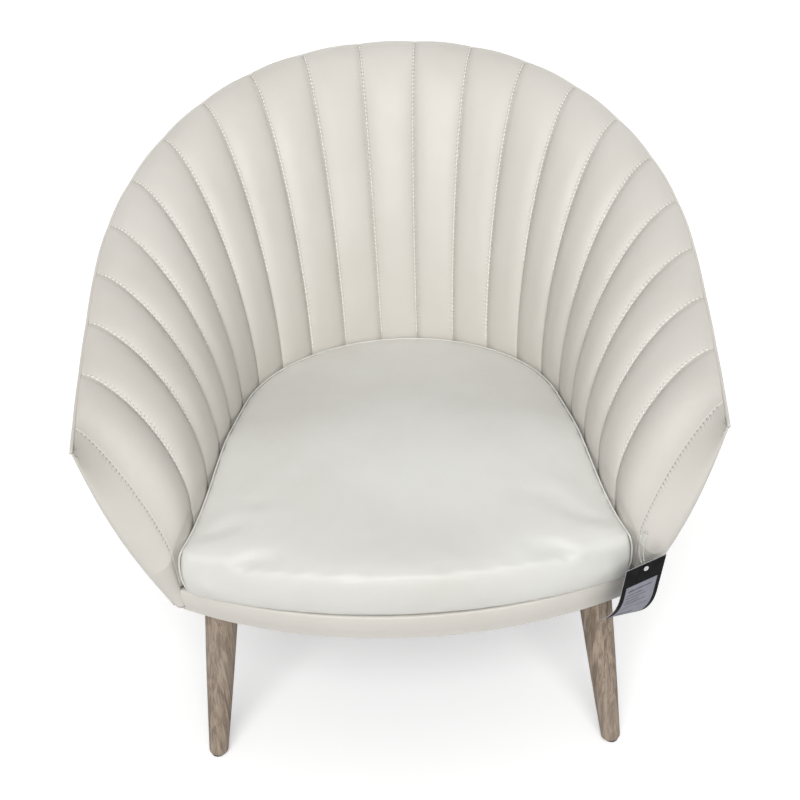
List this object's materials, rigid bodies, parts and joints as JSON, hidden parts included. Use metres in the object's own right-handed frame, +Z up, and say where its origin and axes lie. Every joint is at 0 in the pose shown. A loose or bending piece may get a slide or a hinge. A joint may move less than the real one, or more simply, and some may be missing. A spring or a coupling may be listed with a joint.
{
  "type": "leather tub armchair",
  "caption": "Flared tub armchair with a channelled pale leather lining, a loose seat cushion, splayed turned wooden legs and a hang tag.",
  "frame": {"origin": "on the floor, below the middle of the chair's width and depth", "axes": "+Z up, the chair faces -Y, +X to the right of someone who looks at its front"},
  "size_m": [0.7498, 0.646, 0.7768],
  "materials": {
    "leather": "satin",
    "leg_wood": "satin",
    "frame_wood": "matte",
    "shell_plastic": "matte",
    "foam": "matte",
    "webbing": "matte",
    "black_cloth": "matte",
    "steel": "satin",
    "glide_plastic": "matte",
    "tag_card": "satin",
    "tag_label": "matte",
    "tag_plastic": "gloss"
  },
  "bodies": {
    "chair": {"front_rail": "frame_wood", "back_rail": "frame_wood", "side_rails": "frame_wood", "corner_blocks": "frame_wood", "webbing_lengthwise": "webbing", "webbing_crosswise": "webbing", "seat_deck": "black_cloth", "dust_cover": "black_cloth", "moulded_shell": "shell_plastic", "back_foam": "foam", "left_arm_foam": "foam", "right_arm_foam": "foam", "channelled_lining": "leather", "outside_cover": "leather", "rim_welt": "leather", "front_band": "leather", "leg_front_left": "leg_wood", "leg_front_right": "leg_wood", "leg_rear_left": "leg_wood", "leg_rear_right": "leg_wood", "leg_plates": "steel", "plate_screws": "steel", "hanger_bolts": "steel", "foot_glides": "glide_plastic", "shell_screws": "steel"},
    "seat_cushion": {"cushion_cover": "leather", "cushion_base": "black_cloth", "cushion_foam": "foam", "cushion_piping": "leather"},
    "hang_tag": {"tag_card": "tag_card", "tag_label": "tag_label", "tag_lock": "tag_plastic", "tag_loop": "tag_plastic"}
  },
  "joints": [
    {"name": "cushion_lift", "type": "slide", "parent": "chair", "child": "seat_cushion", "axis": [0, 0, 1], "range_m": [0, 0.35]},
    {"name": "tag_swing", "type": "hinge", "parent": "chair", "child": "hang_tag", "pos_m": [0.2858, -0.267, 0.3342], "axis": [-1, 0, 0], "range_deg": [0, 45]}
  ]
}
